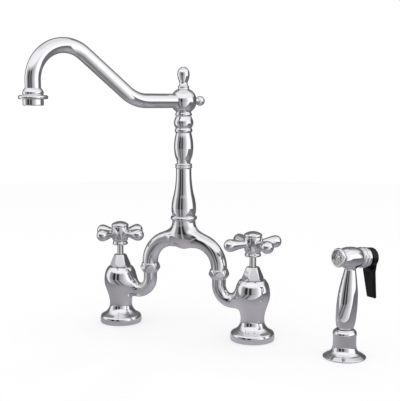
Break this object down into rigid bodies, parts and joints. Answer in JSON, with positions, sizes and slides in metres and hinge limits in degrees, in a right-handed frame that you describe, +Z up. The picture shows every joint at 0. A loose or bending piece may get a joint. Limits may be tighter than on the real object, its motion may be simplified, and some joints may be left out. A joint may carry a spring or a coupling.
{
  "type": "bridge kitchen faucet",
  "caption": "Deck-mounted bridge kitchen faucet with cross handles, a turned column, a swivelling gooseneck spout and a side spray with a squeeze lever in its own holder.",
  "frame": {"origin": "on the deck's top surface, midway between the two valve axes", "axes": "+X from the left valve to the right valve, -Y to the front, +Z up out of the deck"},
  "size_m": [0.4073, 0.2525, 0.4468],
  "materials": {
    "chrome": "polished chrome plate",
    "stem_metal": "satin chrome plate",
    "plain_brass": "turned brass",
    "steel": "fine brushed",
    "black_plastic": "moulded, semi-gloss",
    "white_plastic": "moulded",
    "ceramic": "lapped",
    "seal_rubber": "smooth"
  },
  "bodies": {
    "deck_fittings": {"left_valve_body": "chrome", "left_shank": "plain_brass", "left_bonnet": "chrome", "left_cartridge": "plain_brass", "left_fixed_disc": "ceramic", "left_seat_seal": "seal_rubber", "right_valve_body": "chrome", "right_shank": "plain_brass", "right_bonnet": "chrome", "right_cartridge": "plain_brass", "right_fixed_disc": "ceramic", "right_seat_seal": "seal_rubber", "deck_gaskets": "seal_rubber", "friction_washers": "steel", "lock_nuts": "plain_brass", "union_nuts": "chrome", "union_washers": "seal_rubber", "bridge_yoke": "chrome", "column": "chrome", "column_washer": "seal_rubber", "swivel_bush": "white_plastic", "diverter_spring": "steel", "spray_holder": "chrome", "spray_holder_gasket": "seal_rubber", "spray_holder_nut": "plain_brass", "holder_bush": "black_plastic"},
    "spout": {"hub": "chrome", "finial": "chrome", "rear_knob": "chrome", "spout_tube": "chrome", "spout_collar": "chrome", "aerator_shell": "chrome", "aerator_insert": "white_plastic", "aerator_washer": "seal_rubber", "swivel_o_rings": "seal_rubber", "retaining_ring": "steel"},
    "left_turning": {"left_handle": "chrome", "left_handle_screw": "steel", "left_handle_button": "chrome", "left_stem": "stem_metal", "left_stem_o_ring": "seal_rubber", "left_turning_disc": "ceramic"},
    "right_turning": {"right_handle": "chrome", "right_handle_screw": "steel", "right_handle_button": "chrome", "right_stem": "stem_metal", "right_stem_o_ring": "seal_rubber", "right_turning_disc": "ceramic"},
    "diverter": {"diverter_poppet": "white_plastic"},
    "spray": {"spray_handle": "chrome", "spray_head": "chrome", "nozzle_ring": "chrome", "spray_plate": "steel", "plate_screw": "chrome", "head_collar": "chrome", "lever_pin": "steel", "hose_coupling": "chrome"},
    "lever": {"spray_lever": "black_plastic"},
    "spray_valve": {"plunger": "plain_brass", "plunger_spring": "steel"}
  },
  "joints": [
    {"name": "spout_swivel", "type": "hinge", "parent": "deck_fittings", "child": "spout", "pos_m": [0, 0, 0.28], "axis": [0, 0, 1], "continuous": true},
    {"name": "left_quarter_turn", "type": "hinge", "parent": "deck_fittings", "child": "left_turning", "pos_m": [-0.1016, 0, 0.1276], "axis": [0, 0, 1], "range_deg": [0, 90]},
    {"name": "right_quarter_turn", "type": "hinge", "parent": "deck_fittings", "child": "right_turning", "pos_m": [0.1016, 0, 0.1276], "axis": [0, 0, 1], "range_deg": [-90, 0]},
    {"name": "diverter_lift", "type": "slide", "parent": "deck_fittings", "child": "diverter", "axis": [0, 0, 1], "range_m": [0, 0.008], "stiffness_N_per_m": 60, "springref_m": -0.004, "deforming": ["diverter_spring"]},
    {"name": "spray_pull", "type": "slide", "parent": "deck_fittings", "child": "spray", "axis": [0.0471, 0.0815, 0.9956], "range_m": [0, 0.12]},
    {"name": "lever_squeeze", "type": "hinge", "parent": "spray", "child": "lever", "pos_m": [0.2508, 0.01338, 0.12699], "axis": [-0.866, 0.5, 0], "range_deg": [0, 8]},
    {"name": "valve_push", "type": "slide", "parent": "spray", "child": "spray_valve", "axis": [-0.4978, -0.8622, 0.0941], "range_m": [0, 0.001], "stiffness_N_per_m": 2000, "springref_m": -0.004}
  ],
  "couplings": [
    {"joint": "lever_squeeze", "follows": "valve_push", "rad_per_m": 138.9}
  ]
}
